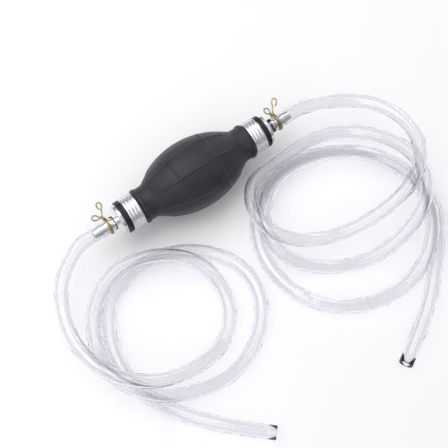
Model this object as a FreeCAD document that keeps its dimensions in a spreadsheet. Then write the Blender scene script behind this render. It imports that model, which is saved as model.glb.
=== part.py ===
"""Hand primer siphon pump: a squeeze bulb with a ball valve in each end and a clear hose on each barb.

A FreeCAD macro, in millimetres. It builds the document and writes one STEP file per sub-part.

Frame: X runs along the bulb, with the inlet at +X and the outlet at -X. Z is up from the surface that
the pump lies on, and the origin is under the middle of the bulb. Both ends are drawn from the bulb's
middle outwards along +X, and the outlet's pieces are then turned half a turn about Z.
"""

import FreeCAD, Part
import math
import os

import Sketcher

Vector = FreeCAD.Vector
X_AXIS = Vector(1, 0, 0)
Z_AXIS = Vector(0, 0, 1)

# The driving dimensions. A name that ends in At, Start or End is a distance from the bulb's middle.
SIZES = {
    # Squeeze bulb
    "BellyRadius": 25.0,
    "BodyEnd": 37.5,
    "NeckRadius": 12.6,
    "BeadStart": 43.6,
    "BeadEnd": 46.6,
    "BeadRadius": 13.3,
    "CrimpRadius": 11.6,
    "CrimpStart": 47.5,
    "NeckEnd": 56.5,
    "HollowRadius": 22.0,
    "HollowEnd": 37.0,
    "NeckBore": 9.2,
    "LongRibs": 8,
    "LongRibRadius": 0.8,
    "LongRibArc": 59.0,
    "LongRibTurn": 19.2,
    "RoundRibAt": 15.6,
    "RoundRibRadius": 0.8,
    # Crimped ferrule round each neck, and the threaded sleeve inside it
    "FerruleEnd": 57.5,
    "FerruleRadius": 12.7,
    "FerruleBore": 11.65,
    "FerruleLipStart": 56.6,
    "FerruleLipRadius": 9.3,
    "FerruleRidges": 4,
    "FerruleGroove": 0.6,
    "FerruleBevel": 0.3,
    "SleeveStart": 44.0,
    "SleeveEnd": 57.4,
    "SleeveRadius": 9.15,
    "SleeveBore": 7.55,
    # Double-lipped sealing ring between the ferrule and the connector's flange
    "RingEnd": 61.5,
    "RingHalfBead": 1.0,
    "RingBow": 1.1,
    "RingShoulder": 11.7,
    "RingBore": 8.4,
    # Barb connector
    "SpigotStart": 44.0,
    "SpigotRadius": 7.5,
    "ChamberRadius": 5.6,
    "ChamberEnd": 62.0,
    "FlangeEnd": 64.2,
    "FlangeRadius": 11.2,
    "FlangeBevel": 0.5,
    "StemRadius": 3.3,
    "StemBore": 2.3,
    "StemEnd": 84.5,
    "BarbRadius": 4.3,
    "BarbStart": 66.6,
    "BarbPitch": 5.4,
    "Barbs": 3,
    "BarbGap": 0.4,
    # Ball valves: a seat, a ball, a spring and a perforated retainer in each connector
    "SeatRadius": 5.62,
    "SeatHole": 2.9,
    "SeatBevel": 0.3,
    "BallRadius": 3.6,
    "InletSeatStart": 58.0,
    "InletSeatEnd": 60.9,
    "InletBallAt": 55.7,
    "InletSpringStart": 45.6,
    "InletSpringLength": 6.2,
    "InletRetainerStart": 44.3,
    "OutletSeatStart": 44.2,
    "OutletSeatEnd": 47.2,
    "OutletBallAt": 49.5,
    "OutletSpringStart": 53.4,
    "OutletSpringLength": 6.2,
    "OutletRetainerStart": 59.8,
    "RetainerThickness": 1.1,
    "RetainerHoleRadius": 1.1,
    "RetainerHoleAt": 3.9,
    "RetainerHoles": 6,
    "SpringRadius": 1.9,
    "SpringWireRadius": 0.22,
    "SpringTurns": 5,
    # Spring-wire hose clamps
    "InletClampAt": 73.6,
    "OutletClampAt": 72.0,
    "ClampRadius": 6.05,
    "ClampWireRadius": 0.6,
    "ClampWirePitch": 1.15,
    "ClampEyeRadius": 1.9,
    "ClampTurn": 19.2,
    # Hoses
    "HoseRadius": 5.0,
    "HoseBore": 4.0,
    "HoseStart": 67.0,
    "StretchRadius": 5.35,
    "StretchBore": 4.35,
    "StretchEnd": 77.5,
    "StretchBoreEnd": 79.0,
    "StretchTaper": 3.0,
    "TaperSink": 0.1,
    "BoreLead": 1.0,
}

# Where the eyes of each clamp's two ears stand: outwards from the clamp, and up from the hose's axis.
CLAMP_EARS = {
    "inlet": {"short": (-3.2, 12.0), "tall": (3.9, 15.5)},
    "outlet": {"short": (5.6, 9.8), "tall": (-1.5, 16.2)},
}

# The routes of the two hoses as they lie in loose loops, from the barb to the cut end. Each list holds
# the corners of straight runs that tangent arcs join.
HOSE_ROUTES = {
    "outlet": [
        (-67, 0, 25), (-97, 0, 25), (-121, -14, 21), (-134, -40, 18), (-136, -69, 23), (-126, -96, 29),
        (-105, -114, 27), (-74, -117, 10), (-50, -112, 5), (-32, -95, 5), (-27, -70, 8), (-35, -48, 15),
        (-59, -31, 17), (-88, -26, 16), (-112, -39, 7), (-125, -63, 7), (-128, -89, 17), (-115, -114, 17),
        (-91, -129, 13), (-61, -135, 7), (-32, -125, 5), (-11, -104, 5), (-5, -77, 5), (-18, -50, 5),
        (-45, -32, 5), (-76, -30, 5), (-101, -42, 5), (-115, -66, 5), (-119, -94, 5), (-108, -126, 5),
        (-84, -157, 5), (-56, -182, 5),
    ],
    "inlet": [
        (67, 0, 25), (96, 0, 25), (123, -10, 24), (144, -29, 26), (150, -57, 33), (141, -84, 38),
        (119, -99, 37), (92, -101, 26), (67, -96, 15), (42, -88, 17), (27, -80, 25), (18, -66, 28),
        (18, -48, 27), (27, -32, 22), (40, -24, 17), (58, -22, 15), (80, -19, 12), (107, -21, 7),
        (129, -37, 9), (140, -63, 21), (139, -90, 28), (125, -112, 28), (100, -121, 16), (73, -121, 6),
        (47, -111, 5), (26, -95, 9), (18, -78, 15), (20, -60, 17), (31, -45, 17), (47, -34, 16),
        (69, -31, 16), (95, -38, 16), (119, -56, 16), (131, -83, 16), (131, -110, 17), (115, -135, 15),
        (88, -150, 8), (56, -149, 5), (27, -134, 5), (10, -107, 5), (8, -74, 5), (21, -47, 5),
        (49, -27, 5), (83, -27, 5), (115, -43, 5), (134, -68, 5), (140, -98, 5), (130, -124, 5),
        (108, -149, 5), (78, -175, 5), (44, -194, 5),
    ],
}

ARC_SHARE = 0.45  # of the shorter run beside a corner that the corner's arc takes up
HALF_TURNS = {"inlet": 0.0, "outlet": 180.0}  # each end's turn about Z

doc = FreeCAD.newDocument("SiphonPump")
sheet = doc.addObject("Spreadsheet::Sheet", "Sizes")
for row, (alias, size) in enumerate(SIZES.items(), start=1):
    sheet.set("A%d" % row, alias)
    sheet.set("B%d" % row, str(size))
    sheet.setAlias("B%d" % row, alias)
doc.recompute()

sub_parts = {}


def value_of(cells):
    """The size of a sum of cells and numbers, such as "FlangeEnd - FlangeBevel"."""
    total = 0.0
    sign = 1
    for word in cells.split():
        if word in ("+", "-"):
            sign = 1 if word == "+" else -1
        else:
            total += sign * (SIZES[word] if word in SIZES else float(word))
    return total


def expression_of(cells):
    """The same sum as an expression on the sheet."""
    return " ".join("Sizes." + word if word in SIZES else word for word in cells.split())


def keep(label, item):
    """Name a finished object as a sub-part."""
    item.Label = label
    sub_parts[label] = item
    return item


def stand_on_axis(item, side="inlet"):
    """Lift an object to the bulb's axis, turned to its end of the pump."""
    turn = FreeCAD.Rotation(Z_AXIS, HALF_TURNS[side])
    item.Placement = FreeCAD.Placement(Vector(0, 0, SIZES["BellyRadius"]), turn)
    item.setExpression(".Placement.Base.z", "Sizes.BellyRadius")


def draw_outline(sketch, outline, bulges):
    """A closed outline of (along, radius) sums. Each side in bulges is an arc of that radius, bowed
    away from the axis, which starts at its outer end because a sketch's arcs run anticlockwise."""
    places = [(value_of(along), value_of(radius)) for along, radius in outline]
    corners = []
    for side, (first, last) in enumerate(zip(places, places[1:] + places[:1])):
        if side in bulges:
            radius = value_of(bulges[side]) if isinstance(bulges[side], str) else bulges[side][0]
            half = abs(last[0] - first[0]) / 2
            drop = math.sqrt(max(radius**2 - half**2, 0.0))
            centre = Vector((first[0] + last[0]) / 2, first[1] - drop, 0)
            start = math.atan2(drop, half)
            circle = Part.Circle(centre, Z_AXIS, radius)
            sketch.addGeometry(Part.ArcOfCircle(circle, start, math.pi - start))
            corners.append((1, 2) if first[0] > last[0] else (2, 1))
        else:
            sketch.addGeometry(Part.LineSegment(Vector(*first, 0), Vector(*last, 0)))
            corners.append((1, 2))
    for side, (along, radius) in enumerate(outline):
        before = (side - 1) % len(outline)
        here = corners[side][0]
        sketch.addConstraint(Sketcher.Constraint("Coincident", before, corners[before][1], side, here))
        for axis, cells, place in (("X", along, places[side][0]), ("Y", radius, places[side][1])):
            rule = Sketcher.Constraint("Distance" + axis, -1, 1, side, here, place)
            index = sketch.addConstraint(rule)
            sketch.setExpression("Constraints[%d]" % index, expression_of(cells))
    for side, bulge in bulges.items():
        radius, cells = (value_of(bulge), expression_of(bulge)) if isinstance(bulge, str) else bulge
        index = sketch.addConstraint(Sketcher.Constraint("Radius", side, radius))
        sketch.setExpression("Constraints[%d]" % index, cells)


def turned(label, outline, side="inlet", bulges=None):
    """A body turned about the bulb's axis."""
    body = doc.addObject("PartDesign::Body", label)
    sketch = body.newObject("Sketcher::SketchObject", label + "_outline")
    plane = next(item for item in body.Origin.OriginFeatures if item.Role == "XY_Plane")
    sketch.AttachmentSupport = [(plane, "")]
    sketch.MapMode = "FlatFace"
    draw_outline(sketch, outline, bulges or {})
    turn = body.newObject("PartDesign::Revolution", label + "_turn")
    turn.Profile = sketch
    turn.ReferenceAxis = (sketch, ["H_Axis"])
    turn.Angle = 360
    body.Tip = turn
    stand_on_axis(body, side)
    return body


def bow(half_cell, top_cell, end_cell):
    """Radius of an arc that rises to the top cell's height over the end cell's, and its expression."""
    half = SIZES[half_cell]
    rise = SIZES[top_cell] - SIZES[end_cell]
    names = {"half": "Sizes." + half_cell, "rise": "(Sizes.%s - Sizes.%s)" % (top_cell, end_cell)}
    cells = "(%(half)s ^ 2 + %(rise)s ^ 2) / (2 * %(rise)s)" % names
    return (half**2 + rise**2) / (2 * rise), cells


# Bulb ------------------------------------------------------------------------------------------


def mirrored(points):
    """The same points at the other end of the bulb, in the order that carries an outline on."""
    return [("- " + along, radius) for along, radius in reversed(points)]


def bulb():
    """Hollow barrel with a beaded neck at each end, and ribs round it and along it."""
    outside = [
        ("BodyEnd", "NeckRadius"),
        ("BeadStart", "NeckRadius"),
        ("BeadStart", "BeadRadius"),
        ("BeadEnd", "BeadRadius"),
        ("BeadEnd", "CrimpRadius"),
        ("NeckEnd", "CrimpRadius"),
    ]
    inside = [("NeckEnd", "NeckBore"), ("HollowEnd", "NeckBore")]
    outer_arc = bow("BodyEnd", "BellyRadius", "NeckRadius")
    inner_arc = bow("HollowEnd", "HollowRadius", "NeckBore")
    outline = mirrored(outside) + outside + inside + mirrored(inside)
    bulges = {len(outside) - 1: outer_arc, 2 * len(outside) + len(inside) - 1: inner_arc}
    barrel = turned("bulb_barrel", outline, "inlet", bulges)

    pieces = [barrel]
    for index in range(SIZES["LongRibs"]):
        rib = doc.addObject("Part::Torus", "long_rib_%d" % index)
        rib.Radius1 = outer_arc[0]
        rib.setExpression("Radius1", outer_arc[1])
        rib.setExpression("Radius2", "Sizes.LongRibRadius")
        rib.setExpression("Angle3", "Sizes.LongRibArc")
        # The ring is stood on edge in the plane of the axis, then turned to its place round the bulb.
        on_edge = FreeCAD.Rotation(X_AXIS, 90)
        lean = FreeCAD.Rotation(Vector(0, 1, 0), -(90 - SIZES["LongRibArc"] / 2))
        round_bulb = FreeCAD.Rotation(X_AXIS, SIZES["LongRibTurn"] + 360 * index / SIZES["LongRibs"])
        turn = round_bulb.multiply(lean.multiply(on_edge))
        inward = round_bulb.multVec(Vector(0, 0, SIZES["BellyRadius"] - outer_arc[0]))
        rib.Placement = FreeCAD.Placement(inward + Vector(0, 0, SIZES["BellyRadius"]), turn)
        pieces.append(rib)
    drop = outer_arc[0] - SIZES["BellyRadius"]
    for sign in (-1, 1):
        rib = doc.addObject("Part::Torus", "round_rib_" + ("outlet" if sign < 0 else "inlet"))
        rib.setExpression("Radius1", "sqrt((%s) ^ 2 - Sizes.RoundRibAt ^ 2) - %.4f" % (outer_arc[1], drop))
        rib.setExpression("Radius2", "Sizes.RoundRibRadius")
        place = Vector(sign * SIZES["RoundRibAt"], 0, SIZES["BellyRadius"])
        rib.Placement = FreeCAD.Placement(place, FreeCAD.Rotation(Vector(0, 1, 0), 90))
        pieces.append(rib)
    whole = doc.addObject("Part::MultiFuse", "rubber_bulb")
    whole.Shapes = pieces
    keep("rubber_bulb", whole)


# Fittings at one end ---------------------------------------------------------------------------


def ferrule(side):
    """Crimped sleeve with ridges round it and a lip that turns in over the neck's end."""
    ridges = SIZES["FerruleRidges"]
    pitch = (SIZES["FerruleEnd"] - SIZES["CrimpStart"]) / ridges
    outline = []
    for index in range(ridges):
        start = "CrimpStart + %.3f" % (index * pitch)
        low = "FerruleRadius - FerruleGroove"
        outline += [
            (start, low),
            (start + " + FerruleBevel", "FerruleRadius"),
            (start + " + %.3f - FerruleBevel" % pitch, "FerruleRadius"),
        ]
    outline += [
        ("FerruleEnd", "FerruleRadius - FerruleGroove"),
        ("FerruleEnd", "FerruleLipRadius"),
        ("FerruleLipStart", "FerruleLipRadius"),
        ("FerruleLipStart", "FerruleBore"),
        ("CrimpStart", "FerruleBore"),
    ]
    keep(side + "_ferrule", turned(side + "_ferrule", outline, side))


def insert_sleeve(side):
    """Sleeve inside the neck that the ferrule is crimped against and the connector screws into."""
    outline = [
        ("SleeveStart", "SleeveBore"),
        ("SleeveStart", "SleeveRadius"),
        ("SleeveEnd", "SleeveRadius"),
        ("SleeveEnd", "SleeveBore"),
    ]
    keep(side + "_insert_sleeve", turned(side + "_insert_sleeve", outline, side))


def sealing_ring(side):
    """Rubber ring with two round lips, squeezed between the ferrule and the flange."""
    outline = [
        ("FerruleEnd", "RingBore"),
        ("FerruleEnd", "RingShoulder"),
        ("FerruleEnd + RingHalfBead + RingHalfBead", "RingShoulder"),
        ("RingEnd", "RingShoulder"),
        ("RingEnd", "RingBore"),
    ]
    keep(side + "_o_ring", turned(side + "_o_ring", outline, side, {1: "RingBow", 2: "RingBow"}))


def connector(side):
    """Spigot with the valve's chamber, a flange, and a stem with barbs that a hose is pushed over."""
    outline = [
        ("SpigotStart", "ChamberRadius"),
        ("SpigotStart", "SpigotRadius"),
        ("RingEnd", "SpigotRadius"),
        ("RingEnd", "FlangeRadius"),
        ("FlangeEnd - FlangeBevel", "FlangeRadius"),
        ("FlangeEnd", "FlangeRadius - FlangeBevel"),
        ("FlangeEnd", "StemRadius"),
    ]
    for index in range(SIZES["Barbs"]):
        start = "BarbStart + %.2f" % (index * SIZES["BarbPitch"])
        end = start + " + BarbPitch - BarbGap"
        outline += [(start, "StemRadius"), (start, "BarbRadius"), (end, "StemRadius")]
    outline += [
        ("StemEnd - FlangeBevel", "StemRadius"),
        ("StemEnd", "StemRadius - FlangeBevel"),
        ("StemEnd", "StemBore"),
        ("ChamberEnd", "StemBore"),
        ("ChamberEnd", "ChamberRadius"),
    ]
    keep(side + "_barb_connector", turned(side + "_barb_connector", outline, side))


def valve(side):
    """Seat, ball, spring and retainer. Both balls open towards the outlet."""
    start = side.capitalize() + "SeatStart"
    stop = side.capitalize() + "SeatEnd"
    wide = "SeatHole + SeatBevel"
    # The edge of the hole that faces the ball is bevelled.
    if side == "inlet":
        mouth = [(start + " + SeatBevel", "SeatHole"), (start, wide)]
        foot = [(stop, "SeatHole")]
    else:
        mouth = [(start, "SeatHole")]
        foot = [(stop, wide), (stop + " - SeatBevel", "SeatHole")]
    outline = mouth + [(start, "SeatRadius"), (stop, "SeatRadius")] + foot
    keep(side + "_valve_seat", turned(side + "_valve_seat", outline, side))
    ball(side)
    spring(side)
    retainer(side)


def ball(side):
    """Ball that closes the seat."""
    sign = 1 if side == "inlet" else -1
    item = doc.addObject("Part::Sphere", side + "_valve_ball")
    item.setExpression("Radius", "Sizes.BallRadius")
    item.setExpression(".Placement.Base.x", "%d * Sizes.%sBallAt" % (sign, side.capitalize()))
    item.setExpression(".Placement.Base.z", "Sizes.BellyRadius")
    keep(side + "_valve_ball", item)


def spring(side):
    """Light helical spring between the ball and the retainer."""
    sign = 1 if side == "inlet" else -1
    end = side.capitalize()
    coil = doc.addObject("Part::Helix", side + "_spring_coil")
    coil.setExpression("Radius", "Sizes.SpringRadius")
    coil.setExpression("Height", "Sizes.%sSpringLength - 2 * Sizes.SpringWireRadius" % end)
    coil.setExpression(
        "Pitch", "(Sizes.%sSpringLength - 2 * Sizes.SpringWireRadius) / Sizes.SpringTurns" % end
    )
    foot = sign * (SIZES[end + "SpringStart"] + SIZES["SpringWireRadius"])
    along = FreeCAD.Rotation(Vector(0, 1, 0), sign * 90)
    coil.Placement = FreeCAD.Placement(Vector(foot, 0, SIZES["BellyRadius"]), along)
    section = doc.addObject("Part::Circle", side + "_spring_section")
    section.setExpression("Radius", "Sizes.SpringWireRadius")
    edge_on = FreeCAD.Placement(Vector(SIZES["SpringRadius"], 0, 0), FreeCAD.Rotation(X_AXIS, 90))
    section.Placement = coil.Placement.multiply(edge_on)
    wire = doc.addObject("Part::Sweep", side + "_valve_spring")
    wire.Sections = [section]
    wire.Spine = (coil, ["Edge1"])
    wire.Solid = True
    wire.Frenet = True
    doc.recompute()
    wire.Spine = (coil, ["Edge%d" % (i + 1) for i in range(len(coil.Shape.Edges))])
    keep(side + "_valve_spring", wire)


def retainer(side):
    """Disc with a ring of holes that holds the spring and lets the water through."""
    start = side.capitalize() + "RetainerStart"
    outline = [
        (start, "0"),
        (start, "SeatRadius"),
        (start + " + RetainerThickness", "SeatRadius"),
        (start + " + RetainerThickness", "0"),
    ]
    disc = turned(side + "_retainer_disc", outline, side)
    sign = 1 if side == "inlet" else -1
    holes = []
    for index in range(SIZES["RetainerHoles"]):
        hole = doc.addObject("Part::Cylinder", "%s_retainer_hole_%d" % (side, index))
        hole.setExpression("Radius", "Sizes.RetainerHoleRadius")
        hole.setExpression("Height", "3 * Sizes.RetainerThickness")
        turn = FreeCAD.Rotation(X_AXIS, 360 * index / SIZES["RetainerHoles"])
        middle = turn.multVec(Vector(0, 0, SIZES["RetainerHoleAt"]))
        low = SIZES[start] - SIZES["RetainerThickness"]
        base = Vector(sign * low, middle.y, middle.z + SIZES["BellyRadius"])
        hole.Placement = FreeCAD.Placement(base, FreeCAD.Rotation(Vector(0, 1, 0), sign * 90))
        holes.append(hole)
    drill = doc.addObject("Part::MultiFuse", side + "_retainer_holes")
    drill.Shapes = holes
    item = doc.addObject("Part::Cut", side + "_valve_retainer")
    item.Base = disc
    item.Tool = drill
    keep(side + "_valve_retainer", item)


# Hose clamps -----------------------------------------------------------------------------------


def ear_wire(foot, eye):
    """Teardrop of wire in the plane of (outwards, up): up from one foot, round the eye, and down."""
    radius = SIZES["ClampEyeRadius"]
    centre = Vector(eye[0], eye[1], 0)
    ends = []
    for side in (-1, 1):
        base = Vector(side * foot, SIZES["ClampRadius"], 0)
        away = centre - base
        reach = away.Length
        lean = math.acos(radius / reach)
        back = math.atan2(-away.y, -away.x)
        angle = back + side * lean
        ends.append((base, centre + Vector(math.cos(angle), math.sin(angle), 0) * radius))
    top = (ends[0][1] + ends[1][1]) * 0.5 - centre
    top = centre - top / top.Length * radius
    return [
        Part.LineSegment(ends[0][0], ends[0][1]).toShape(),
        Part.Arc(ends[0][1], top, ends[1][1]).toShape(),
        Part.LineSegment(ends[1][1], ends[1][0]).toShape(),
    ]


def clamp(side):
    """Two turns of spring wire side by side, with two looped ears to pinch."""
    sign = 1 if side == "inlet" else -1
    axis = Vector(sign * SIZES[side.capitalize() + "ClampAt"], 0, SIZES["BellyRadius"])
    pieces = []
    for index in (-1, 1):
        ring = doc.addObject("Part::Torus", "%s_clamp_turn_%d" % (side, index + 1))
        ring.setExpression("Radius1", "Sizes.ClampRadius")
        ring.setExpression("Radius2", "Sizes.ClampWireRadius")
        place = axis + Vector(index * SIZES["ClampWirePitch"] / 2, 0, 0)
        ring.Placement = FreeCAD.Placement(place, FreeCAD.Rotation(Vector(0, 1, 0), 90))
        pieces.append(ring)
    up = FreeCAD.Rotation(X_AXIS, SIZES["ClampTurn"]).multVec(Vector(0, 1, 0))
    outwards = Vector(sign, 0, 0)
    stand = FreeCAD.Placement(axis, FreeCAD.Rotation(outwards, up, outwards.cross(up), "XYZ"))
    for name, eye in CLAMP_EARS[side].items():
        edges = ear_wire(SIZES["ClampWirePitch"] / 2, eye)
        path = doc.addObject("Part::Feature", "%s_%s_ear_path" % (side, name))
        path.Shape = Part.Wire(edges)
        path.Placement = stand
        section = doc.addObject("Part::Circle", "%s_%s_ear_section" % (side, name))
        section.setExpression("Radius", "Sizes.ClampWireRadius")
        start = edges[0].valueAt(edges[0].FirstParameter)
        heading = edges[0].tangentAt(edges[0].FirstParameter)
        local = FreeCAD.Placement(start, FreeCAD.Rotation(Z_AXIS, heading))
        section.Placement = stand.multiply(local)
        ear = doc.addObject("Part::Sweep", "%s_%s_ear" % (side, name))
        ear.Sections = [section]
        ear.Spine = (path, ["Edge%d" % (i + 1) for i in range(len(edges))])
        ear.Solid = True
        pieces.append(ear)
    whole = doc.addObject("Part::MultiFuse", side + "_hose_clamp")
    whole.Shapes = pieces
    keep(side + "_hose_clamp", whole)


# Hoses -----------------------------------------------------------------------------------------


def run_and_arc_path(points):
    """Edges of straight runs joined by tangent arcs, and each arc's radius and turn."""
    corners = [Vector(*point) for point in points]
    edges = []
    arcs = []
    last = corners[0]
    for before, corner, after in zip(corners, corners[1:], corners[2:]):
        back = (before - corner).normalize()
        ahead = (after - corner).normalize()
        turn = math.pi - back.getAngle(ahead)
        reach = ARC_SHARE * min((before - corner).Length, (after - corner).Length)
        radius = reach / math.tan(turn / 2)
        start = corner + back * reach
        end = corner + ahead * reach
        halfway = (back + ahead).normalize()
        middle = corner + halfway * (radius / math.cos(turn / 2) - radius)
        edges.append(Part.LineSegment(last, start).toShape())
        edges.append(Part.Arc(start, middle, end).toShape())
        arcs.append((radius, math.degrees(turn)))
        last = end
    edges.append(Part.LineSegment(last, corners[-1]).toShape())
    return edges, arcs


def tube_along(name, path, radius_cell, count):
    """Solid round bar along a path."""
    edge = path.Shape.Edges[0]
    section = doc.addObject("Part::Circle", name + "_section")
    section.setExpression("Radius", "Sizes." + radius_cell)
    start = edge.valueAt(edge.FirstParameter)
    heading = edge.tangentAt(edge.FirstParameter)
    section.Placement = FreeCAD.Placement(start, FreeCAD.Rotation(Z_AXIS, heading))
    bar = doc.addObject("Part::Sweep", name)
    bar.Sections = [section]
    bar.Spine = (path, ["Edge%d" % (i + 1) for i in range(count)])
    bar.Solid = True
    return bar


def stretch(name, side, radius, start, end, tip):
    """Straight cylinder and taper along the barb: the hose's stretched end, or its bore."""
    sign = 1 if side == "inlet" else -1
    along = FreeCAD.Rotation(Vector(0, 1, 0), sign * 90)
    body = doc.addObject("Part::Cylinder", name + "_straight")
    body.setExpression("Radius", expression_of(radius))
    body.setExpression("Height", "%s - (%s)" % (expression_of(end), expression_of(start)))
    body.Placement = FreeCAD.Placement(Vector(sign * value_of(start), 0, SIZES["BellyRadius"]), along)
    taper = doc.addObject("Part::Cone", name + "_taper")
    taper.setExpression("Radius1", expression_of(radius))
    taper.setExpression("Radius2", expression_of(tip))
    taper.setExpression("Height", "Sizes.StretchTaper")
    taper.Placement = FreeCAD.Placement(Vector(sign * value_of(end), 0, SIZES["BellyRadius"]), along)
    return [body, taper]


def hose(side):
    """Clear tube in loose loops, stretched over the barbs at its first end and cut square at its last."""
    edges, arcs = run_and_arc_path(HOSE_ROUTES[side])
    path = doc.addObject("Part::Feature", side + "_hose_path")
    path.Shape = Part.Wire(edges)
    name = side + "_hose"
    cuff = stretch(
        name + "_cuff", side, "StretchRadius", "HoseStart", "StretchEnd", "HoseRadius - TaperSink"
    )
    outside = doc.addObject("Part::MultiFuse", name + "_outside")
    outside.Shapes = [tube_along(name + "_tube", path, "HoseRadius", len(edges))] + cuff
    lead = "HoseStart - BoreLead"
    hollow = stretch(
        name + "_cuff_bore", side, "StretchBore", lead, "StretchBoreEnd", "HoseBore - TaperSink"
    )
    inside = doc.addObject("Part::MultiFuse", name + "_inside")
    inside.Shapes = [tube_along(name + "_bore", path, "HoseBore", len(edges))] + hollow
    tube = doc.addObject("Part::Cut", name)
    tube.Base = outside
    tube.Tool = inside
    keep(name, tube)
    return path.Shape.Length, arcs


# Build, test and write -------------------------------------------------------------------------

bulb()
hose_facts = {}
for end_name in ("inlet", "outlet"):
    ferrule(end_name)
    insert_sleeve(end_name)
    sealing_ring(end_name)
    connector(end_name)
    valve(end_name)
    clamp(end_name)
    hose_facts[end_name] = hose(end_name)
doc.recompute()

for item in doc.Objects:
    if "Invalid" in item.State or "Error" in item.State:
        raise RuntimeError("%s did not recompute: %s" % (item.Name, item.State))
for label, item in sub_parts.items():
    shape = item.Shape
    if shape.isNull() or not shape.isValid() or len(shape.Solids) != 1:
        raise RuntimeError("%s is not one valid solid" % label)

for end_name, (route_length, route_arcs) in hose_facts.items():
    radii = ", ".join("%.0f" % radius for radius, _ in route_arcs)
    print("%s hose: %.0f mm of route, arc radii in mm: %s" % (end_name, route_length, radii))
    section = math.pi * (SIZES["HoseRadius"] ** 2 - SIZES["HoseBore"] ** 2)
    volume = sub_parts[end_name + "_hose"].Shape.Volume
    print("  volume %.0f mm3, section times length %.0f mm3" % (volume, section * route_length))

os.makedirs("parts", exist_ok=True)
for label, item in sub_parts.items():
    item.Shape.exportStep(os.path.join("parts", label + ".step"))
print("wrote %d sub-parts" % len(sub_parts))
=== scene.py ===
"""Looks of a hand primer siphon pump: a ribbed squeeze bulb, ridged and knurled ferrules, barbed
connectors, spring-wire clamps and two clear hoses lying in loose loops, on a plain pale floor.

Everything is in metres in the pump's own frame: X along the bulb with the inlet at +X, Z up from the
surface that the pump lies on. "Along" is a distance from the bulb's middle towards either end.
"""

import math

import bmesh
import bpy
from bpy.props import FloatProperty, FloatVectorProperty, IntProperty, PointerProperty
from mathutils import Matrix, Vector


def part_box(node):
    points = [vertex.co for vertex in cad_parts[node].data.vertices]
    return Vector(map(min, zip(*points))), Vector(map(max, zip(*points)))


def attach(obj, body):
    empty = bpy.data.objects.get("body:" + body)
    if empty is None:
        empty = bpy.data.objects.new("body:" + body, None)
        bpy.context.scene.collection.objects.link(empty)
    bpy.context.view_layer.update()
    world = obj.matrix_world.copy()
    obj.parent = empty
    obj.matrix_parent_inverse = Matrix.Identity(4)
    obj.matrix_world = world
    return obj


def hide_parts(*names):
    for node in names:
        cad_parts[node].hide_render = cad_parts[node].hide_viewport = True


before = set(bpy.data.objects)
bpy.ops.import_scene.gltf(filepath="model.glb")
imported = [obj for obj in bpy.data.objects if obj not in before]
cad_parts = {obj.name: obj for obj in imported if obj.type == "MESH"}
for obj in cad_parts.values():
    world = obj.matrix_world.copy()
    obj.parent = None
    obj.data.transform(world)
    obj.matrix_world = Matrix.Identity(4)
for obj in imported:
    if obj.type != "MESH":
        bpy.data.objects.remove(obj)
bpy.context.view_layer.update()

bl_info = {
    "name": "Siphon Pump",
    "version": (1, 0, 0),
    "blender": (4, 5, 0),
    "location": "View3D > Sidebar > Siphon Pump",
    "description": "Builds the bulb, fittings, clamps and hoses of a hand siphon pump",
    "category": "Add Mesh",
}

MM = 0.001
AXIS_Z = (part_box("inlet_ferrule")[0][2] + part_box("inlet_ferrule")[1][2]) / 2
AXIS = Vector((1, 0, 0))
ENDS = {"inlet": 1, "outlet": -1}  # the side of the bulb that each end is on
SAME_PLACE = 0.001 * MM  # corners this close together are one corner

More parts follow.
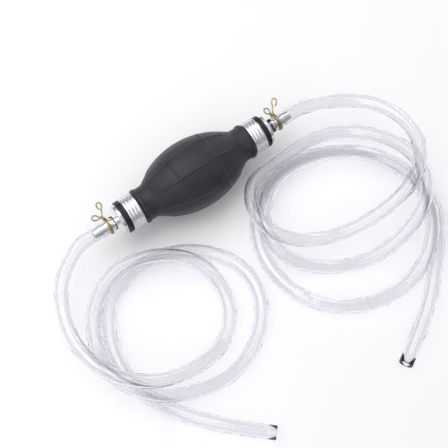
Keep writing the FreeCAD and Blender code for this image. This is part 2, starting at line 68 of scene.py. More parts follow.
# Control points of the two hoses, from the barb to the cut end
HOSE_ROUTES = {
    "outlet": [
        (-0.067, 0, 0.025), (-0.084, 0, 0.025), (-0.097, 0, 0.025), (-0.121, -0.014, 0.021),
        (-0.134, -0.040, 0.018), (-0.136, -0.069, 0.023), (-0.126, -0.096, 0.029), (-0.105, -0.114, 0.027),
        (-0.074, -0.117, 0.010), (-0.050, -0.112, 0.005), (-0.032, -0.095, 0.005), (-0.027, -0.070, 0.008),
        (-0.035, -0.048, 0.015), (-0.059, -0.031, 0.017), (-0.088, -0.026, 0.016), (-0.112, -0.039, 0.007),
        (-0.125, -0.063, 0.007), (-0.128, -0.089, 0.017), (-0.115, -0.114, 0.017), (-0.091, -0.129, 0.013),
        (-0.061, -0.135, 0.007), (-0.032, -0.125, 0.005), (-0.011, -0.104, 0.005), (-0.005, -0.077, 0.005),
        (-0.018, -0.050, 0.005), (-0.045, -0.032, 0.005), (-0.076, -0.030, 0.005), (-0.101, -0.042, 0.005),
        (-0.115, -0.066, 0.005), (-0.119, -0.094, 0.005), (-0.108, -0.126, 0.005), (-0.084, -0.157, 0.005),
        (-0.056, -0.182, 0.005),
    ],
    "inlet": [
        (0.067, 0, 0.025), (0.084, 0, 0.025), (0.096, 0, 0.025), (0.123, -0.010, 0.024),
        (0.144, -0.029, 0.026), (0.150, -0.057, 0.033), (0.141, -0.084, 0.038), (0.119, -0.099, 0.037),
        (0.092, -0.101, 0.026), (0.067, -0.096, 0.015), (0.042, -0.088, 0.017), (0.027, -0.080, 0.025),
        (0.018, -0.066, 0.028), (0.018, -0.048, 0.027), (0.027, -0.032, 0.022), (0.040, -0.024, 0.017),
        (0.058, -0.022, 0.015), (0.080, -0.019, 0.012), (0.107, -0.021, 0.007), (0.129, -0.037, 0.009),
        (0.140, -0.063, 0.021), (0.139, -0.090, 0.028), (0.125, -0.112, 0.028), (0.100, -0.121, 0.016),
        (0.073, -0.121, 0.006), (0.047, -0.111, 0.005), (0.026, -0.095, 0.009), (0.018, -0.078, 0.015),
        (0.020, -0.060, 0.017), (0.031, -0.045, 0.017), (0.047, -0.034, 0.016), (0.069, -0.031, 0.016),
        (0.095, -0.038, 0.016), (0.119, -0.056, 0.016), (0.131, -0.083, 0.016), (0.131, -0.110, 0.017),
        (0.115, -0.135, 0.015), (0.088, -0.150, 0.008), (0.056, -0.149, 0.005), (0.027, -0.134, 0.005),
        (0.010, -0.107, 0.005), (0.008, -0.074, 0.005), (0.021, -0.047, 0.005), (0.049, -0.027, 0.005),
        (0.083, -0.027, 0.005), (0.115, -0.043, 0.005), (0.134, -0.068, 0.005), (0.140, -0.098, 0.005),
        (0.130, -0.124, 0.005), (0.108, -0.149, 0.005), (0.078, -0.175, 0.005), (0.044, -0.194, 0.005),
    ],
}


# Settings --------------------------------------------------------------------------------------


def size(name, description, default):
    """A length in metres that a user may change."""
    return FloatProperty(name=name, description=description, default=default, unit="LENGTH", precision=5)


def tint(name, description, default):
    """A colour that a user may change."""
    return FloatVectorProperty(
        name=name, description=description, default=default, subtype="COLOR", size=3, min=0, max=1
    )


class BulbSettings(bpy.types.PropertyGroup):
    """Sizes and colour of the squeeze bulb."""

    belly_radius: size("Belly radius", "Outside radius at the middle", 25.0 * MM)
    body_end: size("Body end", "Where the barrel meets the neck", 37.5 * MM)
    neck_radius: size("Neck radius", "Outside radius of the neck", 12.6 * MM)
    bead_start: size("Bead start", "Inner edge of the neck's bead", 43.6 * MM)
    bead_end: size("Bead end", "Outer edge of the neck's bead", 46.6 * MM)
    bead_radius: size("Bead radius", "Outside radius of the bead", 13.3 * MM)
    bead_foot: size("Bead foot", "Length over which the neck rises to the bead", 0.5 * MM)
    bead_round: size("Bead rounding", "Rounding of the bead's inner corner and of its crown", 0.35 * MM)
    bead_drop: size("Bead drop", "Rounding of the bead's outer corner", 0.4 * MM)
    crimp_radius: size("Crimp radius", "Neck's radius under the ferrule", 11.6 * MM)
    neck_end: size("Neck end", "End of the neck inside the ferrule", 56.5 * MM)
    hollow_radius: size("Hollow radius", "Inside radius at the middle", 22.0 * MM)
    hollow_end: size("Hollow end", "Where the hollow meets the neck's bore", 37.0 * MM)
    neck_bore: size("Neck bore", "Inside radius of the neck", 9.2 * MM)
    rib_count: IntProperty(name="Ribs", description="Ribs along the barrel", default=8, min=0)
    rib_turn: FloatProperty(
        name="First rib", description="Turn of the first rib from straight up", default=math.radians(19.2),
        subtype="ANGLE",
    )
    rib_height: size("Rib height", "How far the ribs stand proud", 0.62 * MM)
    rib_half_width: size("Rib half width", "Half the width of a rib at its foot", 0.95 * MM)
    rib_reach: size("Rib reach", "Where the long ribs end", 31.0 * MM)
    ring_at: size("Ring at", "Where the ribs round the barrel stand", 15.6 * MM)
    colour: tint("Rubber", "Colour of the bulb's rubber", (0.022, 0.022, 0.027))


class FittingSettings(bpy.types.PropertyGroup):
    """Sizes and colours of the metal fittings and seals."""

    ferrule_start: size("Ferrule start", "Inner end of the ferrule", 47.5 * MM)
    ferrule_end: size("Ferrule end", "Outer end of the ferrule", 57.5 * MM)
    ferrule_radius: size("Ferrule radius", "Outside radius over the ridges", 12.7 * MM)
    ferrule_bore: size("Ferrule bore", "Inside radius", 11.65 * MM)
    lip_start: size("Lip start", "Inner face of the lip that turns in", 56.6 * MM)
    lip_radius: size("Lip radius", "Inside radius of the lip", 9.3 * MM)
    ridges: IntProperty(name="Ridges", description="Ridges round the ferrule", default=4, min=1)
    ridge_depth: size("Ridge depth", "Depth of the grooves between ridges", 0.6 * MM)
    knurl_depth: size("Knurl depth", "Depth of the diamond knurl", 0.09 * MM)
    knurls: IntProperty(name="Knurls", description="Knurl grooves each way round", default=60, min=3)
    ring_shoulder: size("Ring shoulder", "Sealing ring's radius between its lips", 11.7 * MM)
    ring_end: size("Ring end", "Outer face of the sealing ring", 61.5 * MM)
    ring_bore: size("Ring bore", "Inside radius of the sealing ring", 8.4 * MM)
    flange_end: size("Flange end", "Outer face of the flange", 64.2 * MM)
    flange_radius: size("Flange radius", "Outside radius of the flange", 11.2 * MM)
    spigot_start: size("Spigot start", "Inner end of the connector", 44.0 * MM)
    spigot_radius: size("Spigot radius", "Outside radius of the spigot", 7.5 * MM)
    chamber_end: size("Chamber end", "Outer end of the valve chamber", 62.0 * MM)
    chamber_radius: size("Chamber radius", "Radius of the valve chamber", 5.6 * MM)
    stem_radius: size("Stem radius", "Radius of the stem between barbs", 3.3 * MM)
    stem_bore: size("Stem bore", "Radius of the stem's bore", 2.3 * MM)
    stem_end: size("Stem end", "Tip of the stem", 84.5 * MM)
    barb_radius: size("Barb radius", "Radius at each barb's edge", 4.3 * MM)
    barb_start: size("Barb start", "Edge of the first barb", 66.6 * MM)
    barb_pitch: size("Barb pitch", "Distance between barbs", 5.4 * MM)
    barbs: IntProperty(name="Barbs", description="Barbs on each stem", default=3, min=0)
    metal: tint("Aluminium", "Colour of the fittings", (0.86, 0.87, 0.89))
    seal: tint("Seal", "Colour of the sealing rings", (0.014, 0.014, 0.016))


class ClampSettings(bpy.types.PropertyGroup):
    """Sizes and colour of the spring-wire clamps."""

    inlet_at: size("Inlet clamp", "Where the inlet's clamp grips", 73.6 * MM)
    outlet_at: size("Outlet clamp", "Where the outlet's clamp grips", 72.0 * MM)
    turn_radius: size("Turn radius", "Radius of the wire's turns round the hose", 5.98 * MM)
    wire_radius: size("Wire radius", "Radius of the wire", 0.55 * MM)
    pitch: size("Pitch", "Distance between the two turns", 1.2 * MM)
    beside: size("Beside", "How far each ear stands to its own side", 1.6 * MM)
    tall_neck: size("Tall neck", "Height over the turns where the tall ear leaves them", 1.6 * MM)
    short_neck: size("Short neck", "Height over the turns where the short ear leaves them", 1.2 * MM)
    eye_radius: size("Eye radius", "Radius of the looped ears", 1.75 * MM)
    lean: FloatProperty(
        name="Lean", description="Turn of the ears above the level", default=math.radians(19.2),
        subtype="ANGLE",
    )
    colour: tint("Clamp wire", "Colour of the passivated wire", (0.47, 0.36, 0.20))


class HoseSettings(bpy.types.PropertyGroup):
    """Sizes and colour of the hoses."""

    radius: size("Radius", "Outside radius", 5.0 * MM)
    bore: size("Bore", "Inside radius", 4.0 * MM)
    stretch_radius: size("Stretch radius", "Outside radius over the barbs", 5.32 * MM)
    stretch_bore: size("Stretch bore", "Inside radius over the barbs", 4.35 * MM)
    stretch_end: size("Stretch end", "How far from its end the hose stays stretched", 10.5 * MM)
    stretch_taper: size("Stretch taper", "Length over which it draws in again", 6.0 * MM)
    bore_lag: size("Bore lag", "How much later the bore draws in than the outside", 1.6 * MM)
    swell: size("Swell", "How far each barb swells the hose", 0.07 * MM)
    swell_pitch: size("Swell pitch", "Distance between swellings", 5.4 * MM)
    swell_at: size("Swell at", "Where the first swelling stands", 0.6 * MM)
    cut_edge: size("Cut edge", "Rounding of the edges of the cut faces", 0.18 * MM)
    sides: IntProperty(name="Sides", description="Faces round the hose", default=40, min=8)
    colour: tint("Clear hose", "Tint of the clear hose", (0.935, 0.93, 0.95))


class StageSettings(bpy.types.PropertyGroup):
    """Floor, light and camera."""

    floor_colour: tint("Floor", "Colour of the floor", (0.93, 0.93, 0.93))
    lens: FloatProperty(name="Lens", description="Focal length", default=80.36, unit="CAMERA")
    distance: size("Distance", "How far the camera stands from what it looks at", 0.718)
    aside: size("Aside", "How far to the right of the bulb's middle the camera looks", 0.0218)
    below: size("Below", "How far below the bulb's middle the camera looks", 0.0362)
    azimuth: FloatProperty(
        name="Azimuth", description="Turn of the view about Z", default=math.radians(-34.5), subtype="ANGLE"
    )
    elevation: FloatProperty(
        name="Elevation", description="Height of the view above level", default=math.radians(67.4),
        subtype="ANGLE",
    )


class PumpSettings(bpy.types.PropertyGroup):
    """All the pump's settings."""

    bulb: PointerProperty(type=BulbSettings)
    fitting: PointerProperty(type=FittingSettings)
    clamp: PointerProperty(type=ClampSettings)
    hose: PointerProperty(type=HoseSettings)
    stage: PointerProperty(type=StageSettings)


# Materials -------------------------------------------------------------------------------------


def new_material(name):
    """A material with nothing but its output, and its node tree."""
    material = bpy.data.materials.new(name)
    material.use_nodes = True
    material.node_tree.nodes.clear()
    return material, material.node_tree


def add_node(tree, kind, **values):
    """A shader node, with its settings and its sockets' values given by name."""
    node = tree.nodes.new("ShaderNode" + kind)
    for name, value in values.items():
        socket = node.inputs.get(name.replace("_", " "))
        if socket is not None:
            socket.default_value = value
        else:
            setattr(node, name, value)
    return node


def object_noise(tree, scale, detail=2.0, stretch=(1, 1, 1)):
    """Noise on the object's own coordinates; scale is in features per metre."""
    place = add_node(tree, "TexCoord")
    mapping = add_node(tree, "Mapping", Scale=stretch)
    noise = add_node(tree, "TexNoise", Scale=scale, Detail=detail)
    tree.links.new(place.outputs["Object"], mapping.inputs["Vector"])
    tree.links.new(mapping.outputs["Vector"], noise.inputs["Vector"])
    return noise.outputs["Fac"]


def ranged(tree, value, low, high):
    """A 0 to 1 value spread between low and high."""
    node = add_node(tree, "MapRange")
    node.inputs["To Min"].default_value = low
    node.inputs["To Max"].default_value = high
    tree.links.new(value, node.inputs["Value"])
    return node.outputs["Result"]


def two_tone(tree, value, dark, light, low=0.3, high=0.7):
    """A colour between two, by a 0 to 1 value."""
    ramp = add_node(tree, "ValToRGB")
    ramp.color_ramp.elements[0].position = low
    ramp.color_ramp.elements[0].color = (*dark, 1)
    ramp.color_ramp.elements[1].position = high
    ramp.color_ramp.elements[1].color = (*light, 1)
    tree.links.new(value, ramp.inputs["Fac"])
    return ramp.outputs["Color"]


def bumped(tree, height, distance, under=None):
    """A normal from a height; distance is in metres."""
    bump = add_node(tree, "Bump", Strength=1.0, Distance=distance)
    tree.links.new(height, bump.inputs["Height"])
    if under is not None:
        tree.links.new(under, bump.inputs["Normal"])
    return bump.outputs["Normal"]


def shaded(colour, factor):
    """A colour made darker or lighter."""
    return tuple(min(1.0, part * factor) for part in colour)


def rubber_material(name, colour, roughness, grain, sheen):
    """Moulded rubber: a fine pebbled grain, with faint blooms of lighter and duller surface."""
    material, tree = new_material(name)
    shader = add_node(tree, "BsdfPrincipled")
    shader.inputs["Specular IOR Level"].default_value = 0.42
    shader.inputs["Sheen Weight"].default_value = sheen
    shader.inputs["Sheen Roughness"].default_value = 0.45
    bloom = object_noise(tree, 90, 4.0)
    fine = object_noise(tree, 2600, 2.0)
    pebble = object_noise(tree, 900, 3.0)
    tree.links.new(
        two_tone(tree, bloom, shaded(colour, 0.82), shaded(colour, 1.25)), shader.inputs["Base Color"]
    )
    tree.links.new(ranged(tree, pebble, roughness - 0.07, roughness + 0.09), shader.inputs["Roughness"])
    soft = bumped(tree, pebble, grain)
    tree.links.new(bumped(tree, fine, grain * 0.4, soft), shader.inputs["Normal"])
    out = add_node(tree, "OutputMaterial")
    tree.links.new(shader.outputs["BSDF"], out.inputs["Surface"])
    return material


def turned_metal_material(name, colour, roughness, line_depth=0.00002):
    """Bright turned metal: fine tool lines round the axis, and slightly uneven polish."""
    material, tree = new_material(name)
    shader = add_node(tree, "BsdfPrincipled", Metallic=1.0)
    lines = object_noise(tree, 30, 3.0, stretch=(160, 1, 1))
    smears = object_noise(tree, 260, 4.0)
    tree.links.new(
        two_tone(tree, smears, shaded(colour, 0.88), shaded(colour, 1.04)), shader.inputs["Base Color"]
    )
    tree.links.new(ranged(tree, smears, roughness * 0.75, roughness * 1.35), shader.inputs["Roughness"])
    tree.links.new(bumped(tree, lines, line_depth), shader.inputs["Normal"])
    out = add_node(tree, "OutputMaterial")
    tree.links.new(shader.outputs["BSDF"], out.inputs["Surface"])
    return material


def wire_material(name, colour, roughness):
    """Drawn wire with a passivated plating that is thinner and paler in places."""
    material, tree = new_material(name)
    shader = add_node(tree, "BsdfPrincipled", Metallic=1.0)
    patches = object_noise(tree, 420, 3.0)
    pits = object_noise(tree, 3200, 2.0)
    tree.links.new(
        two_tone(tree, patches, shaded(colour, 0.72), shaded(colour, 1.3), 0.35, 0.65),
        shader.inputs["Base Color"],
    )
    tree.links.new(ranged(tree, pits, roughness - 0.08, roughness + 0.12), shader.inputs["Roughness"])
    tree.links.new(bumped(tree, pits, 0.00003), shader.inputs["Normal"])
    out = add_node(tree, "OutputMaterial")
    tree.links.new(shader.outputs["BSDF"], out.inputs["Surface"])
    return material


def clear_hose_material(name, colour):
    """Clear soft plastic: it bends what is behind it, with a faint unevenness from its extrusion. Lamps
    shine through it onto what is below."""
    material, tree = new_material(name)
    shader = add_node(tree, "BsdfPrincipled", IOR=1.5, Base_Color=(*colour, 1))
    shader.inputs["Transmission Weight"].default_value = 1.0
    ripple = object_noise(tree, 120, 2.0)
    haze = object_noise(tree, 700, 3.0)
    tree.links.new(ranged(tree, haze, 0.02, 0.09), shader.inputs["Roughness"])
    tree.links.new(bumped(tree, ripple, 0.0003), shader.inputs["Normal"])
    passing = add_node(tree, "BsdfTransparent", Color=(0.97, 0.97, 0.98, 1))
    rays = add_node(tree, "LightPath")
    mix = add_node(tree, "MixShader")
    tree.links.new(rays.outputs["Is Shadow Ray"], mix.inputs["Fac"])
    tree.links.new(shader.outputs["BSDF"], mix.inputs[1])
    tree.links.new(passing.outputs["BSDF"], mix.inputs[2])
    out = add_node(tree, "OutputMaterial")
    tree.links.new(mix.outputs["Shader"], out.inputs["Surface"])
    return material


def floor_material(name, colour):
    """Plain pale floor with the faintest unevenness."""
    material, tree = new_material(name)
    shader = add_node(tree, "BsdfPrincipled", Roughness=0.7)
    cloud = object_noise(tree, 3, 2.0)
    tree.links.new(two_tone(tree, cloud, shaded(colour, 0.995), colour), shader.inputs["Base Color"])
    out = add_node(tree, "OutputMaterial")
    tree.links.new(shader.outputs["BSDF"], out.inputs["Surface"])
    return material


# Mesh helpers ----------------------------------------------------------------------------------


def finished_piece(name, bm, material, body, slot, *nodes):
    """An object made of a finished bmesh, riding on its body in place of its CAD nodes."""
    mesh = bpy.data.meshes.new(name)
    bm.to_mesh(mesh)
    bm.free()
    mesh.polygons.foreach_set("use_smooth", [True] * len(mesh.polygons))
    mesh.materials.append(material)
    piece = bpy.data.objects.new(name, mesh)
    bpy.context.scene.collection.objects.link(piece)
    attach(piece, body)
    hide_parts(*nodes)
    return piece


def rounded_edges(piece, width):
    """Small rounded edges with flat faces kept flat."""
    bevel = piece.modifiers.new("Edges", "BEVEL")
    bevel.width = width
    bevel.segments = 2
    bevel.limit_method = "ANGLE"
    bevel.angle_limit = math.radians(28)
    bevel.use_clamp_overlap = True
    normals = piece.modifiers.new("Faces", "WEIGHTED_NORMAL")
    normals.keep_sharp = True
    return piece


def spun_outline(bm, outline, side, turns):
    """Turn a closed outline of (along, radius) points about the axis. turns lists (angle, steps), so
    that the columns can be closer in places."""
    corners = [bm.verts.new((side * along, 0, AXIS_Z + radius)) for along, radius in outline]
    edges = [bm.edges.new(pair) for pair in zip(corners, corners[1:] + corners[:1])]
    geometry = corners + edges
    for angle, steps in turns:
        made = bmesh.ops.spin(
            bm, geom=geometry, cent=(0, 0, AXIS_Z), axis=AXIS, angle=angle, steps=steps, use_merge=False
        )
        geometry = [item for item in made["geom_last"] if not isinstance(item, bmesh.types.BMFace)]
    bmesh.ops.remove_doubles(bm, verts=bm.verts, dist=SAME_PLACE)
    bmesh.ops.recalc_face_normals(bm, faces=bm.faces)


def turned_piece(name, outline, side, steps, material, slot, *nodes):
    """A piece turned about the bulb's axis."""
    bm = bmesh.new()
    spun_outline(bm, outline, side, [(2 * math.pi, steps)])
    return finished_piece(name, bm, material, "pump", slot, *nodes)


def smooth_step(value):
    """0 below 0, 1 above 1, and smooth between."""
    value = min(1.0, max(0.0, value))
    return value * value * (3 - 2 * value)


# Bulb ------------------------------------------------------------------------------------------


def bow_radius(half, rise):
    """Radius of an arc over a half chord that rises that much."""
    return (half * half + rise * rise) / (2 * rise)


class SIPHON_OT_bulb(bpy.types.Operator):
    """Make the ribbed squeeze bulb"""

    bl_idname = "siphon.bulb"
    bl_label = "Squeeze Bulb"

    def execute(self, context):
        sizes = context.scene.siphon_pump.bulb
        outside = [(along, self.barrel(sizes, along)) for along in self.stations(sizes)]
        neck = [
            (sizes.bead_start - sizes.bead_foot, sizes.neck_radius),
            (sizes.bead_start, sizes.neck_radius + sizes.bead_foot / 2),
            (sizes.bead_start + sizes.bead_round, sizes.bead_radius),
            (sizes.bead_end - sizes.bead_round, sizes.bead_radius),
            (sizes.bead_end, sizes.bead_radius - sizes.bead_drop),
            (sizes.bead_end, sizes.crimp_radius),
            (sizes.neck_end, sizes.crimp_radius),
            (sizes.neck_end, sizes.neck_bore),
        ]
        hollow = bow_radius(sizes.hollow_end, sizes.hollow_radius - sizes.neck_bore)
        steps = 16
        inside = []
        for index in range(steps + 1):
            along = sizes.hollow_end * (1 - 2 * index / steps)
            inside.append((along, sizes.hollow_radius - hollow + math.sqrt(hollow**2 - along**2)))
        far_neck = [(-along, radius) for along, radius in reversed(neck)]
        outline = far_neck + outside + neck + inside
        bm = bmesh.new()
        spun_outline(bm, outline, 1, self.turns(sizes))
        self.raise_ribs(bm, sizes)
        material = rubber_material("Bulb rubber", sizes.colour, 0.5, 0.00006, 0.12)
        finished_piece("Bulb", bm, material, "pump", "rubber", "rubber_bulb")
        return {"FINISHED"}

    @staticmethod
    def barrel(sizes, along):
        """Outside radius of the barrel at a place along it, with a small fillet into the neck."""
        arc = bow_radius(sizes.body_end, sizes.belly_radius - sizes.neck_radius)
        inside_arc = max(arc**2 - along**2, 0.0)
        radius = sizes.belly_radius - arc + math.sqrt(inside_arc)
        fillet = 0.35 * MM
        gap = radius - sizes.neck_radius
        return sizes.neck_radius + (gap + math.sqrt(gap * gap + 4 * fillet * fillet)) / 2

    @staticmethod
    def stations(sizes):
        """Places along the barrel, closer together across the ribs that go round it."""
        reach = 1.8 * sizes.rib_half_width
        rib_steps, inner_steps, outer_steps = 6, 7, 18
        across = [sizes.ring_at + reach * (index / rib_steps - 1) for index in range(2 * rib_steps + 1)]
        between = [(sizes.ring_at - reach) * index / inner_steps for index in range(inner_steps)]
        edge = sizes.bead_start - 1.2 * MM
        span = edge - sizes.ring_at - reach
        outer = [sizes.ring_at + reach + span * index / outer_steps for index in range(1, outer_steps + 1)]
        half = between[1:] + across + outer
        return [-along for along in reversed(half)] + [0.0] + half

    @staticmethod
    def turns(sizes):
        """Columns round the barrel, closer together across the ribs that run along it."""
        window = 0.15  # the angle that a rib and its foot take up
        across = (window, 14)
        pitch = 2 * math.pi / sizes.rib_count
        lead = sizes.rib_turn - window / 2
        turns = [(lead, 1)]
        for _ in range(sizes.rib_count - 1):
            turns += [across, (pitch - window, 10)]
        return turns + [across, (pitch - window - lead, 6)]

    @staticmethod
    def raise_ribs(bm, sizes):
        """Lift the outside surface into rounded ribs along and round the barrel."""
        pitch = 2 * math.pi / sizes.rib_count
        width = sizes.rib_half_width
        wall_depth = 0.5 * MM  # what lies further in than this is the hollow, not the outside
        run_out = 1.5 * MM
        roundness = 1.5
        for vert in bm.verts:
            across = Vector((0, vert.co.y, vert.co.z - AXIS_Z))
            radius = across.length
            along = vert.co.x
            if radius < sizes.neck_radius or abs(along) > sizes.body_end:
                continue
            if radius < SIPHON_OT_bulb.barrel(sizes, along) - wall_depth:
                continue
            angle = math.atan2(-across.y, across.z) - sizes.rib_turn
            off = (angle + pitch / 2) % pitch - pitch / 2
            side_on = abs(off) * radius / width
            fade = smooth_step((sizes.rib_reach - abs(along)) / run_out)
            long_rib = fade * math.cos(side_on * math.pi / 2) ** roundness if side_on < 1 else 0.0
            end_on = abs(abs(along) - sizes.ring_at) / width
            round_rib = math.cos(end_on * math.pi / 2) ** roundness if end_on < 1 else 0.0
            vert.co += across.normalized() * sizes.rib_height * max(long_rib, round_rib)


# Fittings --------------------------------------------------------------------------------------


class SIPHON_OT_ferrules(bpy.types.Operator):
    """Make the two ridged and knurled ferrules"""

    bl_idname = "siphon.ferrules"
    bl_label = "Ferrules"

    def execute(self, context):
        sizes = context.scene.siphon_pump.fitting
        material = turned_metal_material("Ferrule aluminium", sizes.metal, 0.24, 0.00001)
        for end, side in ENDS.items():
            bm = bmesh.new()
            columns = 6 * sizes.knurls
            spun_outline(bm, self.outline(sizes), side, [(2 * math.pi, columns)])
            self.cut_knurl(bm, sizes)
            name = end + "_ferrule"
            finished_piece("Ferrule_" + end, bm, material, "pump", "ferrule_metal", name)
        return {"FINISHED"}

    @staticmethod
    def outline(sizes):
        """Ridged outside, a lip that turns in at the outer end, and a plain bore."""
        rows = 11 * sizes.ridges
        flatness = 0.55  # under 1 makes broad crowns and narrow grooves
        length = sizes.ferrule_end - sizes.ferrule_start
        outside = []
        for index in range(rows + 1):
            part = index / rows
            wave = abs(math.sin(math.pi * sizes.ridges * part)) ** flatness
            radius = sizes.ferrule_radius - sizes.ridge_depth * (1 - wave)
            outside.append((sizes.ferrule_start + length * part, radius))
        return outside + [
            (sizes.ferrule_end, sizes.lip_radius),
            (sizes.lip_start, sizes.lip_radius),
            (sizes.lip_start, sizes.ferrule_bore),
            (sizes.ferrule_start, sizes.ferrule_bore),
        ]

    @staticmethod
    def cut_knurl(bm, sizes):
        """Press a diamond knurl of crossing grooves into the ridges."""
        length = sizes.ferrule_end - sizes.ferrule_start
        wall_depth = 0.2 * MM  # what lies further in than this over the bore is the bore
        sharpness = 6
        edge_rows = 14
        rise = 2 * math.pi * sizes.ferrule_radius / sizes.knurls
        for vert in bm.verts:
            across = Vector((0, vert.co.y, vert.co.z - AXIS_Z))
            if across.length < sizes.ferrule_bore + wall_depth:
                continue
            turn = math.atan2(across.y, across.z) * sizes.knurls / 2
            travel = (abs(vert.co.x) - sizes.ferrule_start) / rise * math.pi
            groove = max(abs(math.cos(turn + travel)), abs(math.cos(turn - travel))) ** sharpness
            part = (abs(vert.co.x) - sizes.ferrule_start) / length
            fade = smooth_step(min(part, 1 - part) * edge_rows)
            vert.co -= across.normalized() * sizes.knurl_depth * groove * fade


class SIPHON_OT_seals(bpy.types.Operator):
    """Make the two sealing rings, each with two round lips"""

    bl_idname = "siphon.seals"
    bl_label = "Sealing Rings"

    def execute(self, context):
        sizes = context.scene.siphon_pump.fitting
        material = rubber_material("Seal rubber", sizes.seal, 0.3, 0.00002, 0.0)
        for end, side in ENDS.items():
            name = end + "_o_ring"
            turned_piece("Seal_" + end, self.outline(sizes), side, 120, material, "seal", name)
        return {"FINISHED"}

    @staticmethod
    def outline(sizes):
        """Two lips side by side over a flat bore."""
        start = sizes.ferrule_end
        half = (sizes.ring_end - start) / 4
        bulge = 0.68  # each lip's height over half its width
        steps = 10
        lips = []
        for lip in (1, 3):
            for index in range(steps + 1):
                turn = math.pi * (1 - index / steps)
                rise = bulge * half * math.sin(turn)
                lips.append((start + half * (lip + math.cos(turn)), sizes.ring_shoulder + rise))
        del lips[steps]
        return lips + [(sizes.ring_end, sizes.ring_bore), (start, sizes.ring_bore)]


class SIPHON_OT_connectors(bpy.types.Operator):
    """Make the two flanged barb connectors"""

    bl_idname = "siphon.connectors"
    bl_label = "Barb Connectors"

    def execute(self, context):
        sizes = context.scene.siphon_pump.fitting
        material = turned_metal_material("Connector aluminium", sizes.metal, 0.17)
        for end, side in ENDS.items():
            name = end + "_barb_connector"
            piece = turned_piece(
                "Connector_" + end, self.outline(sizes), side, 128, material, "connector_metal", name
            )
            rounded_edges(piece, 0.18 * MM)
        return {"FINISHED"}

    @staticmethod
    def outline(sizes):
        """Spigot, flange, barbed stem and the bore through them."""
        bevel = 0.5 * MM
        gap = 0.4 * MM  # plain stem between one barb's foot and the next barb's edge
        outline = [
            (sizes.spigot_start, sizes.chamber_radius),
            (sizes.spigot_start, sizes.spigot_radius),
            (sizes.ring_end, sizes.spigot_radius),
            (sizes.ring_end, sizes.flange_radius),
            (sizes.flange_end - bevel, sizes.flange_radius),
            (sizes.flange_end, sizes.flange_radius - bevel),
            (sizes.flange_end, sizes.stem_radius),
        ]
        for index in range(sizes.barbs):
            start = sizes.barb_start + index * sizes.barb_pitch
            outline += [
                (start, sizes.stem_radius),
                (start, sizes.barb_radius),
                (start + sizes.barb_pitch - gap, sizes.stem_radius),
            ]
        return outline + [
            (sizes.stem_end - bevel, sizes.stem_radius),
            (sizes.stem_end, sizes.stem_radius - bevel),
            (sizes.stem_end, sizes.stem_bore),
            (sizes.chamber_end, sizes.stem_bore),
            (sizes.chamber_end, sizes.chamber_radius),
        ]


class SIPHON_OT_valves(bpy.types.Operator):
    """Finish the sleeves, seats, balls, springs and retainers inside the fittings"""

    bl_idname = "siphon.valves"
    bl_label = "Valves"

    def execute(self, context):
        sizes = context.scene.siphon_pump.fitting
        brass = turned_metal_material("Sleeve brass", (0.72, 0.52, 0.24), 0.28)
        polished = turned_metal_material("Ball steel", (0.72, 0.73, 0.75), 0.08, 0.000002)
        drawn = wire_material("Spring steel", (0.58, 0.59, 0.61), 0.3)
        soft = rubber_material("Seat rubber", sizes.seal, 0.4, 0.00002, 0.0)
        finishes = {
            "insert_sleeve": brass,
            "valve_retainer": brass,
            "valve_seat": soft,
            "valve_ball": polished,
            "valve_spring": drawn,
        }
        for end in ENDS:
            for part, material in finishes.items():
                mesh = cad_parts["%s_%s" % (end, part)].data
                mesh.materials.clear()
                mesh.materials.append(material)
        return {"FINISHED"}


# Clamps ----------------------------------------------------------------------------------------

# Each clamp's ears: the eye's place outwards from the clamp and up from the hose's axis, in metres, the
# eye's shape as its height over its width, and the angle that it is left open where it starts.
CLAMP_EARS = {
    "inlet": {"short": (-0.0015, 0.0110, 1.25, 0.42), "tall": (0.0058, 0.0136, 1.6, 0.6)},
    "outlet": {"short": (0.0053, 0.0095, 1.25, 0.42), "tall": (-0.0021, 0.0158, 1.3, 0.02)},
}


